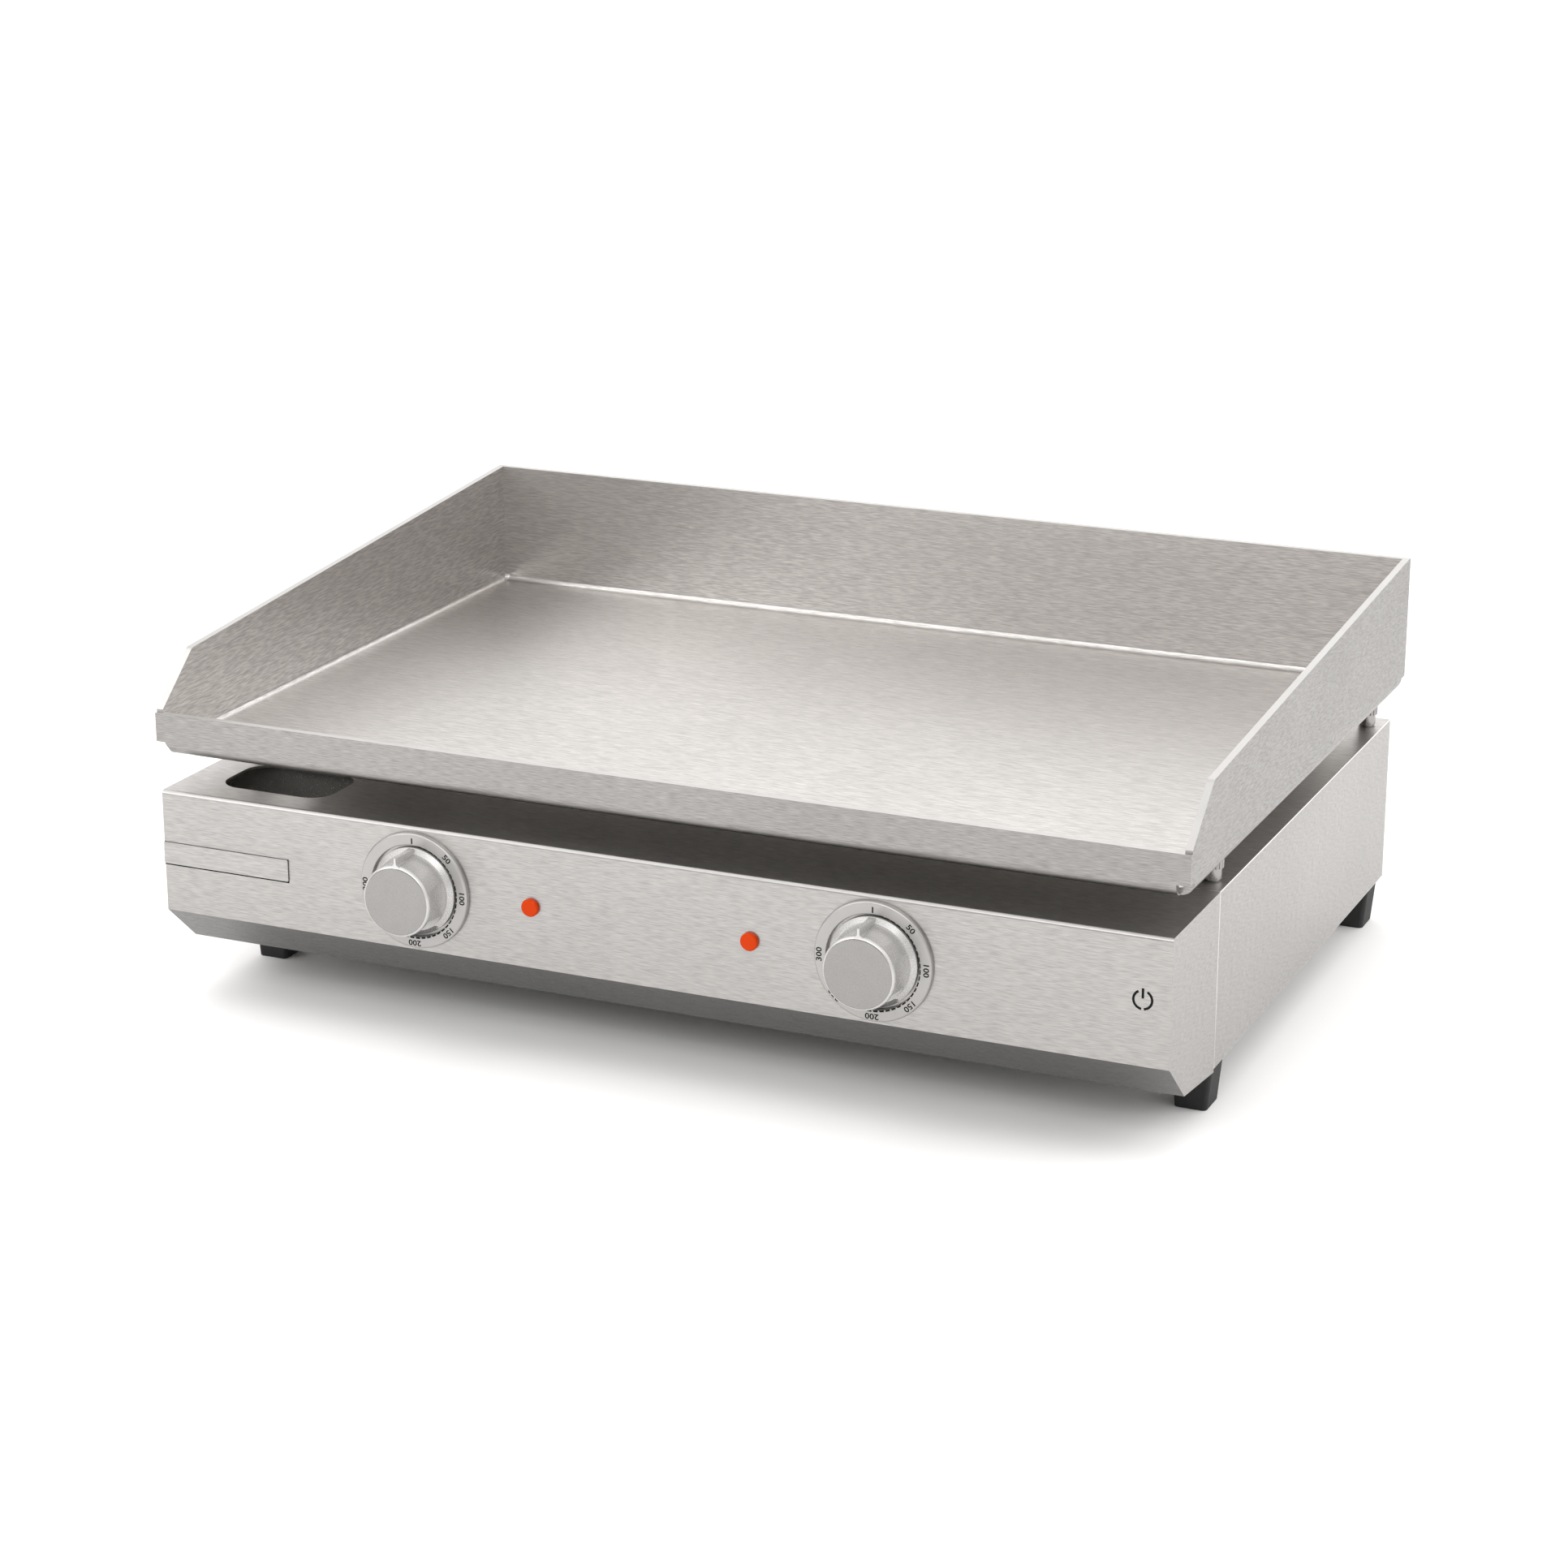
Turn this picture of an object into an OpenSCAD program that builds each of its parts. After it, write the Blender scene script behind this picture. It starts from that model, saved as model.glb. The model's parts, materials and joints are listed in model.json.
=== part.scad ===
// Two-zone electric griddle: a folded cooking pan that stands on four posts
// above a sheet-metal base with two dials, two lamps and a grease drawer.
// Millimetres. +Z is up, the front is at -Y, and z = 0 is the table.

/* [Base] */
// Width of the base
base_w = 600; // [590:1:640]
// Depth of the base, front face to rear face
base_d = 416.8; // [410:0.2:440]
// Height of the base's sheet-metal box
base_h = 100; // [98:1:104]
// Height of the feet under the base
foot_h = 28; // [26:1:34]
// Sheet thickness of the base
sheet = 1.5; // [1.2:0.1:1.6]
// Depth of the front fascia, front face to seam
fascia_d = 77.2; // [77:0.1:79]

/* [Pan] */
// Outer width of the pan
pan_w = 611.5; // [602:0.5:650]
// Outer depth of the pan
pan_d = 416.2; // [412:0.2:430]
// Sheet thickness of the pan
pan_sheet = 4; // [3.5:0.5:4]
// Gap between the base's top and the pan's underside
pan_gap = 19; // [19:1:24]
// Height of the cooking surface's front wall
front_wall_h = 20.3; // [18:0.1:24]
// Height of the rear wall above the cooking surface
rear_wall_h = 76.2; // [70:0.2:90]
// Diameter of the grease drain
drain_dia = 30; // [20:1:34]

/* [Controls] */
// Distance of each dial from the middle
dial_x = 137; // [130:1:145]
// Distance of each indicator lamp from the middle
lamp_x = 65.5; // [60:0.5:80]
// Drop of the dials and lamps below the base's top
control_drop = 36.4; // [36:0.1:40]
// Outer diameter of a dial ring
ring_dia = 67; // [64:1:70]
// Diameter of a knob's front disc
knob_dia = 41; // [38:0.5:43]
// How far a knob stands out from the fascia
knob_reach = 22.6; // [20:0.2:26]
// Diameter of an indicator lens
lens_dia = 10.2; // [9.8:0.2:12]

/* [Grease drawer] */
// Length of the drawer's tray, across the griddle
tray_l = 124; // [110:1:124]
// Depth of the drawer's tray, front to back
tray_d = 59; // [54:1:59]
// Height of the drawer's tray
tray_h = 40; // [30:1:44]

/* [Hidden] */

$fn = 96;

// Levels
base_top = foot_h + base_h;
pan_under = base_top + pan_gap;
surface = pan_under + pan_sheet;
dial_z = base_top - control_drop;

// Plan positions
y_front = -base_d / 2;
y_rear = base_d / 2;
y_seam = y_front + fascia_d;
seam_gap = 0.3;
half_w = base_w / 2;
inner_w = half_w - sheet;

// The fascia's outline from the side: front face, underside chamfer, sloping underside
chamfer_start_z = foot_h + 28.3;
chamfer_tip_z = foot_h + 4.1;
chamfer_back = 26.7;
seam_drop = 1.5;

// The pan's place
pan_y0 = -202.5;
pan_y1 = pan_y0 + pan_d;
pan_x = pan_w / 2;
bend_in = 3.5;
bend_out = bend_in + pan_sheet;
front_wall_top = surface + front_wall_h;
rear_wall_top = surface + rear_wall_h;
side_corner_back = 34.9;
side_corner_z = surface + 49.9;
side_front_in = 2;
drain_x = -242;
drain_y = -168;

// The opening in the base's top above the drawer
drip_x0 = -277;
drip_x1 = -207;
drip_y0 = -188;
drip_y1 = -143;
drip_r = 14;

// Thermostats and their shafts
shaft_r = 3;
running_gap = 0.05;
bush_r = 5;
therm_w = 40;
therm_h = 32;
therm_l = 24;
therm_cap_r = 14;
therm_cap_l = 13;
therm_back = y_front + sheet + therm_l + therm_cap_l;
therm_screw_x = 14;
therm_screw_r = 1.5;

// Knobs
flange_r = 25;
barrel_base_r = 21.8;
knob_rim_r = 2;
grip_top = 9;
grip_floor = -10.5;
grip_depth = 1.4;
grip_z = 5.6;
disc_t = 3;
fin_top_w = 1.2;
fin_foot_w = 3.8;

// Lamps
lens_stem_r = 4.4;
lens_stem_l = 8;
lens_h = 2.4;
lens_rim_r = 1.1;
holder_flange_r = 8;
holder_flange_t = 3;
holder_r = 6.4;
holder_l = 20;
holder_bore_l = 12;
holder_tag_x = 2.5;
holder_tag_w = 4;
tag_t = 0.8;

// Posts
post_x = 290;
post_ys = [-114, 191];
post_r = 5;
post_foot_r = 4.3;
post_foot_h = 0.9;
collar_r = 6.1;
collar_h = 11.7;
collar_ridges = 18;
stud_r = 3;
nut_r = 5.8;
nut_h = 5;

// Elements
zone_x = 135;
leg_pitch = 56;
element_r = 4;
element_z = pan_under - element_r - 0.4;
leg_y0 = -62;
leg_y1 = 144;
elbow_r = 10;
sheath_drop = 24;
pin_r = 1.6;
pin_l = 10;
pin_end_z = element_z - elbow_r - sheath_drop - pin_l;
clamp_ys = [-20, 110];
clamp_t = 3;
shroud_x = 262;
shroud_y0 = -104;
shroud_y1 = 186;
shroud_t = 1;
bar_z1 = element_z - element_r - 0.05;
bar_z0 = bar_z1 - clamp_t;
shroud_z = bar_z0 - shroud_t;
clamp_nut_h = 3.2;
bulb_x = zone_x - leg_pitch - 11;
capillary_y = -98;

// Drawer and its guide
tray_t = 1.2;
tray_x0 = -half_w + 1;
tray_z = foot_h + 36;
tray_y = -168.8;
guide_t = 1.2;
guide_gap = 0.7;
guide_end = tray_x0 + tray_l + 2;

// Feet: square, narrower at the bottom
foot_x = 285.3;
foot_ys = [-113, 197.6];
foot_low = [18.2, 21];
foot_high = [23.5, 21.5];
foot_round = 2.5;

// Gland
gland_x = 200;
gland_z = foot_h + 42;
gland_r = 10;
gland_bore_r = 5;
gland_flange = 5;
gland_reach = 22.6;
gland_inside = 9;

// Terminal block, just inside the gland
block_y = 150;
block_w = 60;
block_d = 24;

// Switch under the fascia
switch_x = 262;
switch_y = -158;
switch_l = 30;
switch_w = 14;
rocker_l = 24;
rocker_w = 9;
rocker_tilt = 10;
switch_slope = atan((chamfer_tip_z - foot_h + seam_drop) / (fascia_d - chamfer_back));
switch_z = chamfer_tip_z - (switch_y - y_front - chamfer_back) * tan(switch_slope);

flange_w = 16;
cover_t = 1.2;
mat_t = 10;

steel = [0.78, 0.76, 0.74];
satin = [0.72, 0.71, 0.69];
black = [0.08, 0.08, 0.08];

// ---------- Shared shapes ----------

// Where two lines cross, each a point and a direction
function crossing(p, u, q, v) =
    let (k = ((q[0] - p[0]) * v[1] - (q[1] - p[1]) * v[0]) / (u[0] * v[1] - u[1] * v[0])) p + k * u;

// Unit vector, and the normal to its left
function unit(v) = v / norm(v);
function left_of(v) = [-v[1], v[0]];

// A closed outline moved inward by t; the outline runs anticlockwise
function inset(points, t) =
    let (n = len(points))
    [for (i = [0:n - 1])
        let (a = points[(i + n - 1) % n], b = points[i], c = points[(i + 1) % n],
            u = unit(b - a), v = unit(c - b))
        crossing(b + t * left_of(u), u, b + t * left_of(v), v)];

// Points of a round corner about c, from angle a0 to angle a1
function arc(c, r, a0, a1, steps = 8) =
    [for (i = [0:steps]) c + r * [cos(a0 + (a1 - a0) * i / steps), sin(a0 + (a1 - a0) * i / steps)]];

// Lay a side outline (y, z) along X, from x0 for length w
module along_x(x0, w) {
    translate([x0, 0, 0]) rotate([90, 0, 90]) linear_extrude(w) children();
}

// Lay a front outline (x, z) along Y, from y0 for length d
module along_y(y0, d) {
    translate([0, y0 + d, 0]) rotate([90, 0, 0]) linear_extrude(d) children();
}

// Place a shape that points to +Z so that it points out of the fascia, at height z
module facing_front(x, z) {
    translate([x, y_front, z]) rotate([90, 0, 0]) children();
}

module rounded_rect(w, d, r) {
    square([w - 2 * r, d], center = true);
    square([w, d - 2 * r], center = true);
    for (sx = [-1, 1], sy = [-1, 1])
        translate([sx * (w / 2 - r), sy * (d / 2 - r)]) circle(r);
}

module box_between(low, high) {
    translate(low) cube(high - low);
}

module hex_nut(r, h, hole_r) {
    difference() {
        cylinder(r = r, h = h, $fn = 6);
        translate([0, 0, -1]) cylinder(r = hole_r, h = h + 2);
    }
}

// Direction of a route at its point i: the mean of the runs before and after it
function route_dir(route, i) =
    unit((i > 0 ? unit(route[i] - route[i - 1]) : [0, 0, 0])
        + (i < len(route) - 1 ? unit(route[i + 1] - route[i]) : [0, 0, 0]));

// An eight-sided tube of radius r through a list of points; no run may lie along ref
module wire(route, r, ref = [0, 0, 1]) {
    sides = 8;
    last = len(route) - 1;
    rings = [for (i = [0:last])
        let (t = route_dir(route, i), s = unit(cross(t, ref)), u = cross(s, t))
        for (k = [0:sides - 1]) route[i] + r * (cos(k * 360 / sides) * s + sin(k * 360 / sides) * u)];
    walls = [for (i = [0:last - 1], k = [0:sides - 1])
        let (a = i * sides + k, b = i * sides + (k + 1) % sides)
        each [[a, b, b + sides], [a, b + sides, a + sides]]];
    ends = [[for (k = [sides - 1:-1:0]) k], [for (k = [0:sides - 1]) last * sides + k]];
    polyhedron(rings, concat(walls, ends), convexity = 6);
}

module at_posts() {
    for (sx = [-1, 1], y = post_ys)
        translate([sx * post_x, y, 0]) children();
}

module at_feet() {
    for (sx = [-1, 1], y = foot_ys)
        translate([sx * foot_x, y, 0]) children();
}

// ---------- Pan ----------

// One bend of the folded sheet: a quarter ring around [0, 0], from below to one side
module bend_section() {
    difference() {
        circle(bend_out);
        circle(bend_in);
        translate([-2 * bend_out, 0]) square(4 * bend_out);
        translate([0, -2 * bend_out]) square(4 * bend_out);
    }
}

module pan_bends() {
    floor_x = pan_x - bend_out;
    bend_z = pan_under + bend_out;
    floor_y0 = pan_y0 + bend_out;
    floor_y1 = pan_y1 - bend_out;
    along_x(-floor_x, 2 * floor_x) translate([floor_y0, bend_z]) bend_section();
    along_x(-floor_x, 2 * floor_x) translate([floor_y1, bend_z]) mirror([1, 0]) bend_section();
    along_y(floor_y0, floor_y1 - floor_y0) translate([-floor_x, bend_z]) bend_section();
    along_y(floor_y0, floor_y1 - floor_y0)
        translate([floor_x, bend_z]) mirror([1, 0]) bend_section();
    for (sx = [-1, 1])
        translate([sx * floor_x, floor_y1, bend_z]) rotate(sx < 0 ? 90 : 0)
            rotate_extrude(angle = 90) mirror([1, 0]) bend_section();
}

// Side wall: a low front, a sloping cut to a round corner, then a long rise to the rear
module side_wall_outline() {
    corner = [pan_y0 + side_corner_back, side_corner_z];
    front_rise = (side_corner_z - front_wall_top) / side_corner_back;
    front = [pan_y0 + side_front_in, front_wall_top + side_front_in * front_rise];
    rear = [pan_y1 - pan_sheet, rear_wall_top];
    rise = atan2(rear[1] - corner[1], rear[0] - corner[0]);
    climb = atan2(corner[1] - front[1], corner[0] - front[0]);
    corner_r = 6;
    reach = corner_r * tan((climb - rise) / 2);
    centre = corner + reach * [cos(rise), sin(rise)] + corner_r * [sin(rise), -cos(rise)];
    polygon(concat([[front[0], pan_under + bend_out], [rear[0], pan_under + bend_out], rear],
        arc(centre, corner_r, 90 + rise, 90 + climb), [front]));
}

module griddle_pan() color(steel) difference() {
    union() {
        box_between([-(pan_x - bend_out), pan_y0 + bend_out, pan_under],
            [pan_x - bend_out, pan_y1 - bend_out, surface]);
        pan_bends();
        box_between([-pan_x, pan_y0, pan_under + bend_out],
            [pan_x, pan_y0 + pan_sheet, front_wall_top]);
        box_between([-pan_x, pan_y1 - pan_sheet, pan_under + bend_out],
            [pan_x, pan_y1, rear_wall_top]);
        for (x = [-pan_x, pan_x - pan_sheet])
            along_x(x, pan_sheet) side_wall_outline();
    }
    translate([drain_x, drain_y, pan_under - 1]) cylinder(d = drain_dia, h = pan_sheet + 2);
}

// ---------- Base ----------

// The fascia from the side, anticlockwise, closed at the seam
fascia_outline = [
    [y_front, base_top],
    [y_front, chamfer_start_z],
    [y_front + chamfer_back, chamfer_tip_z],
    [y_seam, foot_h - seam_drop],
    [y_seam, base_top]];

// The same outline with the top front bend rounded
function rounded_fascia(points, r) =
    concat([for (i = [1:len(points) - 1]) points[i]],
        arc(points[0] + [r, -r], r, 90, 180));

module front_fascia() color(steel) difference() {
    along_x(-half_w, base_w) polygon(rounded_fascia(fascia_outline, 2.5));
    along_x(-inner_w, 2 * inner_w) polygon(rounded_fascia(inset(fascia_outline, sheet), 1));
    box_between([-inner_w, y_seam - sheet - 1, foot_h], [inner_w, y_seam + 1, base_top - sheet]);
    drip_opening();
    drawer_opening();
    for (sx = [-1, 1]) {
        facing_front(sx * dial_x, dial_z) translate([0, 0, -sheet - 1])
            cylinder(r = bush_r + 0.3, h = sheet + 2);
        facing_front(sx * lamp_x, dial_z) translate([0, 0, -sheet - 1])
            cylinder(r = lens_stem_r + 0.1, h = sheet + 2);
        for (tx = [-1, 1])
            facing_front(sx * dial_x + tx * therm_screw_x, dial_z) translate([0, 0, -sheet - 1])
                cylinder(r = 1.6, h = sheet + 2);
    }
    at_switch() cube([switch_l - 4, switch_w - 4, 12], center = true);
}

module drip_opening() {
    translate([(drip_x0 + drip_x1) / 2, (drip_y0 + drip_y1) / 2, base_top - sheet - 1])
        linear_extrude(sheet + 2) rounded_rect(drip_x1 - drip_x0, drip_y1 - drip_y0, drip_r);
}

// The hole in the left side that the drawer slides through
module drawer_opening() {
    box_between([-half_w - 1, tray_y - tray_d / 2 - 1, tray_z - 1],
        [-inner_w + 1, tray_y + tray_d / 2 + 1, tray_z + tray_h + 1]);
}

module rear_housing() color(steel) difference() {
    housing_y0 = y_seam + seam_gap;
    box_between([-half_w, housing_y0, foot_h], [half_w, y_rear, base_top]);
    box_between([-inner_w, housing_y0 - 1, foot_h + cover_t + sheet],
        [inner_w, y_rear - sheet, base_top - sheet]);
    box_between([-inner_w, housing_y0 - 1, foot_h - 1], [inner_w, y_rear - sheet, foot_h + cover_t]);
    box_between([-inner_w + flange_w, housing_y0 - 1, foot_h],
        [inner_w - flange_w, y_rear - sheet - flange_w, base_top / 2]);
    at_posts() translate([0, 0, base_top - sheet - 1]) cylinder(r = stud_r + 0.3, h = sheet + 2);
    at_bushings() translate([0, 0, base_top - sheet - 1]) cylinder(r = 7.3, h = sheet + 2);
    at_capillaries() translate([0, 0, base_top - sheet - 1]) cylinder(r = 2, h = sheet + 2);
    at_foot_screws();
    at_cover_screws() translate([0, 0, foot_h]) cylinder(r = 1.6, h = 5);
    translate([gland_x, y_rear, gland_z]) rotate([90, 0, 0])
        translate([0, 0, -1]) cylinder(r = gland_r, h = sheet + 2);
    for (x = [-230:20:90], z = [70, 92])
        translate([x, y_rear - sheet / 2, z])
            cube([12, sheet + 2, 4], center = true);
}

// A strip inside the seam that joins the fascia to the housing
module joint_frame() color(satin) {
    y0 = y_seam - 4.5;
    y1 = y_seam + 9;
    z0 = foot_h + 12;
    difference() {
        box_between([-inner_w, y0, z0], [inner_w, y1, base_top - sheet]);
        box_between([-inner_w + sheet, y0 - 1, z0 - 1], [inner_w - sheet, y1 + 1, base_top - 2 * sheet]);
    }
}

module bottom_cover() color(satin) difference() {
    cover_x = inner_w - 0.3;
    box_between([-cover_x, y_seam + seam_gap, foot_h], [cover_x, y_rear - sheet - 0.3, foot_h + cover_t]);
    for (x = [-210:30:210], y = [-60, 20, 100])
        translate([x, y, foot_h]) cube([5, 50, 4], center = true);
    at_foot_screws();
    at_cover_screws() translate([0, 0, foot_h - 1]) cylinder(r = 1.6, h = 4);
}

module at_cover_screws() {
    for (sx = [-1, 1], y = [-50, 40, 130])
        translate([sx * (inner_w - 9), y, 0]) children();
    for (x = [-150, 0, 150])
        translate([x, y_rear - sheet - 9, 0]) children();
}

module at_foot_screws() {
    at_feet() translate([0, 0, foot_h - 1]) cylinder(r = 2.2, h = 8);
}

module badge_plate() color(satin) {
    facing_front(-259.2, base_top - 37) linear_extrude(1) rounded_rect(81.5, 12.7, 0.8);
}

// ---------- Dials ----------

module dial_ring(side) color(satin) {
    ring_r = ring_dia / 2;
    ring_h = 3;
    facing_front(side * dial_x, dial_z) rotate_extrude()
        polygon(concat([[26.5, 0], [ring_r, 0]],
            arc([ring_r - 1.4, ring_h - 1.4], 1.4, 0, 90), arc([27.1, ring_h - 0.6], 0.6, 90, 180, 4)));
}

// The barrel tapers to the front and has two flat grips and a cut-away underside
module knob_barrel(disc_r) {
    cut = 40;
    difference() {
        translate([0, 0, 4]) cylinder(r1 = barrel_base_r, r2 = disc_r - 0.4, h = knob_reach - 6);
        for (sx = [-1, 1])
            translate([sx * (disc_r - grip_depth + cut / 2), (grip_top + grip_floor) / 2, grip_z + cut / 2])
                cube([cut, grip_top - grip_floor, cut], center = true);
        translate([0, grip_floor - cut / 2, grip_z + cut / 2]) cube([2 * cut, cut, cut], center = true);
    }
}

// The pointer widens towards the flange, and fillets join it to the disc and barrel
module knob_fin(disc_r) {
    front_z = knob_reach - 0.4;
    fillet_r = 1.8;
    fillet_x = fin_top_w / 2 + fillet_r;
    root = 4;
    rotate([90, 0, 180]) translate([0, 0, disc_r - root]) linear_extrude(flange_r - disc_r + root)
        polygon([[-fin_foot_w / 2, 3.5], [fin_foot_w / 2, 3.5],
            [fin_top_w / 2, front_z], [-fin_top_w / 2, front_z]]);
    translate([0, 0, grip_z]) linear_extrude(front_z - grip_z) difference() {
        translate([-fillet_x, disc_r - knob_rim_r]) square([2 * fillet_x, knob_rim_r + fillet_r]);
        for (sx = [-1, 1])
            translate([sx * fillet_x, disc_r + fillet_r]) circle(fillet_r);
    }
}

// Knob: a coned flange, the barrel, a front disc with a round rim, and the pointer
module knob(side) color(satin) facing_front(side * dial_x, dial_z) difference() {
    disc_r = knob_dia / 2;
    union() {
        translate([0, 0, 0.8]) cylinder(r = flange_r, h = 1.6);
        translate([0, 0, 2.4]) cylinder(r1 = flange_r, r2 = barrel_base_r + 0.5, h = 2.2);
        knob_barrel(disc_r);
        rotate_extrude() polygon(concat([[0, knob_reach - disc_t], [disc_r, knob_reach - disc_t]],
            arc([disc_r - knob_rim_r, knob_reach - knob_rim_r], knob_rim_r, 0, 90), [[0, knob_reach]]));
        knob_fin(disc_r);
    }
    translate([0, 0, -1]) cylinder(r = shaft_r + running_gap, h = 16);
}

// Control body behind the fascia, with a threaded nose that holds the shaft
module thermostat(side) color("silver") facing_front(side * dial_x, dial_z) difference() {
    union() {
        translate([0, 0, -sheet - therm_l / 2])
            cube([therm_w, therm_h, therm_l], center = true);
        translate([0, 0, -sheet - therm_l - therm_cap_l]) cylinder(r = therm_cap_r, h = therm_cap_l);
        translate([0, 0, -sheet - 2]) cylinder(r = bush_r, h = sheet + 2.4);
    }
    translate([0, 0, -20]) cylinder(r = shaft_r + running_gap, h = 30);
    for (tx = [-1, 1])
        translate([tx * therm_screw_x, 0, -12]) cylinder(r = therm_screw_r, h = 12);
}

module thermostat_shaft(side) color("lightgrey") facing_front(side * dial_x, dial_z) difference() {
    translate([0, 0, -19]) cylinder(r = shaft_r, h = 33);
    translate([1.8, -5, 2]) cube([5, 10, 20]);
}

module thermostat_screws() color("lightgrey")
    for (side = [-1, 1], tx = [-1, 1])
        facing_front(side * dial_x + tx * therm_screw_x, dial_z) {
            cylinder(r = 2.8, h = 0.6);
            translate([0, 0, -9]) cylinder(r = therm_screw_r, h = 9.1);
        }

// Bulb clipped under the pan between the element's legs, and its thin tube
module sensor(side) color("peru") {
    x = side * bulb_x;
    bulb_z = pan_under - 3.4;
    translate([x, -40, bulb_z]) rotate([-90, 0, 0]) cylinder(r = 3, h = 90);
    wire([[x, -40, bulb_z], [x, capillary_y, bulb_z], [x, capillary_y, dial_z + 20],
        [side * (dial_x - 12), -140, dial_z + 10], [side * (dial_x - 6), -169, dial_z + 6]],
        0.9, ref = [1, 0, 0]);
}

module at_capillaries() {
    for (side = [-1, 1]) translate([side * bulb_x, capillary_y, 0]) children();
}

// ---------- Indicator lamps ----------

module lamp_lens(side) color([0.88, 0.2, 0.02]) facing_front(side * lamp_x, dial_z) {
    lens_r = lens_dia / 2;
    rotate_extrude() polygon(concat(
        [[0, -lens_stem_l], [lens_stem_r, -lens_stem_l], [lens_stem_r, 0], [lens_r, 0]],
        arc([lens_r - lens_rim_r, lens_h - lens_rim_r], lens_rim_r, 0, 90), [[0, lens_h]]));
}

module lamp_holder(side) color(black) facing_front(side * lamp_x, dial_z) difference() {
    union() {
        translate([0, 0, -sheet - holder_flange_t]) cylinder(r = holder_flange_r, h = holder_flange_t);
        translate([0, 0, -sheet - holder_l]) cylinder(r = holder_r, h = holder_l - 2);
        for (x = [-holder_tag_x, holder_tag_x])
            translate([x, 0, -sheet - holder_l - 3]) cube([tag_t, holder_tag_w, 8], center = true);
    }
    translate([0, 0, -holder_bore_l]) cylinder(r = lens_stem_r + running_gap, h = holder_bore_l + 2);
}

// ---------- Grease drawer ----------

module drip_tray() color(satin) difference() {
    tray_y0 = tray_y - tray_d / 2;
    box_between([tray_x0, tray_y0, tray_z], [tray_x0 + tray_l, tray_y0 + tray_d, tray_z + tray_h]);
    box_between([tray_x0 + tray_t, tray_y0 + tray_t, tray_z + tray_t],
        [tray_x0 + tray_l - tray_t, tray_y0 + tray_d - tray_t, tray_z + tray_h + 1]);
}

// Face plate of the drawer, with a folded finger lip along its top edge
module tray_front() color(steel) {
    face_y0 = tray_y - tray_d / 2 - 3;
    face_y1 = tray_y + tray_d / 2 + 3;
    face_x0 = -half_w - 1.5;
    lip_x0 = -pan_x + 0.2;
    box_between([face_x0, face_y0, tray_z - 3], [-half_w - 0.3, face_y1, tray_z + tray_h + 3]);
    box_between([-half_w - 0.31, tray_y - 20, tray_z + 4], [tray_x0, tray_y + 20, tray_z + tray_h - 4]);
    box_between([lip_x0, tray_y - 22, tray_z + tray_h - 3],
        [face_x0 + 0.1, tray_y + 22, tray_z + tray_h - 1.8]);
    box_between([lip_x0, tray_y - 22, tray_z + tray_h - 8],
        [lip_x0 + 1.2, tray_y + 22, tray_z + tray_h - 1.8]);
}

// Channel that carries the drawer; its two top edges meet the fascia's top
module tray_guide() color(satin) difference() {
    out_y0 = tray_y - tray_d / 2 - guide_gap - guide_t;
    out_y1 = tray_y + tray_d / 2 + guide_gap + guide_t;
    box_between([-inner_w, out_y0, tray_z - guide_gap - guide_t],
        [guide_end + guide_t, out_y1, base_top - sheet]);
    box_between([-inner_w - 1, out_y0 + guide_t, tray_z - guide_gap],
        [guide_end, out_y1 - guide_t, base_top]);
}

// ---------- Posts between base and pan ----------

module post(sx, y) color(satin) translate([sx * post_x, y, 0]) difference() {
    union() {
        translate([0, 0, base_top]) cylinder(r = post_foot_r, h = post_foot_h);
        translate([0, 0, base_top + post_foot_h])
            cylinder(r = post_r, h = pan_gap - collar_h - post_foot_h);
    }
    translate([0, 0, base_top - 1]) cylinder(r = stud_r + 0.05, h = pan_gap + 2);
}

module post_collars() color(satin) at_posts()
    translate([0, 0, pan_under - collar_h]) linear_extrude(collar_h) difference() {
        circle(collar_r);
        circle(stud_r + 0.05);
        for (i = [1:collar_ridges])
            rotate(i * 360 / collar_ridges) translate([collar_r + 0.2, 0]) circle(0.7, $fn = 16);
    }

module post_studs() color("lightgrey") at_posts()
    translate([0, 0, base_top - 12]) cylinder(r = stud_r, h = pan_gap + 12);

module post_nuts() color("lightgrey") at_posts()
    translate([0, 0, base_top - sheet - nut_h]) hex_nut(nut_r, nut_h, stud_r + 0.05);

// ---------- Heating ----------

// One tubular element: four legs, three turns, and two ends that go down into the base
module heating_element(side) color([0.35, 0.33, 0.32]) translate([side * zone_x, 0, element_z]) {
    leg_x = [for (i = [-1.5:1:1.5]) i * leg_pitch];
    for (i = [0:3])
        translate([leg_x[i], leg_y0, 0]) rotate([-90, 0, 0])
            cylinder(r = element_r, h = leg_y1 - leg_y0, $fn = 32);
    for (i = [0:2])
        translate([(leg_x[i] + leg_x[i + 1]) / 2, i == 1 ? leg_y0 : leg_y1, 0])
            rotate(i == 1 ? 180 : 0) rotate_extrude(angle = 180)
            translate([leg_pitch / 2, 0]) circle(element_r, $fn = 32);
    for (x = [leg_x[0], leg_x[3]])
        translate([x, leg_y0, -elbow_r]) rotate([0, -90, 0]) {
            rotate([0, 0, -90]) rotate_extrude(angle = 90)
                translate([elbow_r, 0]) circle(element_r, $fn = 32);
            translate([-sheath_drop, -elbow_r, 0]) rotate([0, 90, 0])
                cylinder(r = element_r, h = sheath_drop, $fn = 32);
            translate([-sheath_drop - pin_l, -elbow_r, 0]) rotate([0, 90, 0])
                cylinder(r = pin_r, h = pin_l + 0.1, $fn = 24);
        }
}

module at_bushings() {
    for (side = [-1, 1], i = [-1.5, 1.5])
        translate([side * zone_x + i * leg_pitch, leg_y0 - elbow_r, 0]) children();
}

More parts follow.
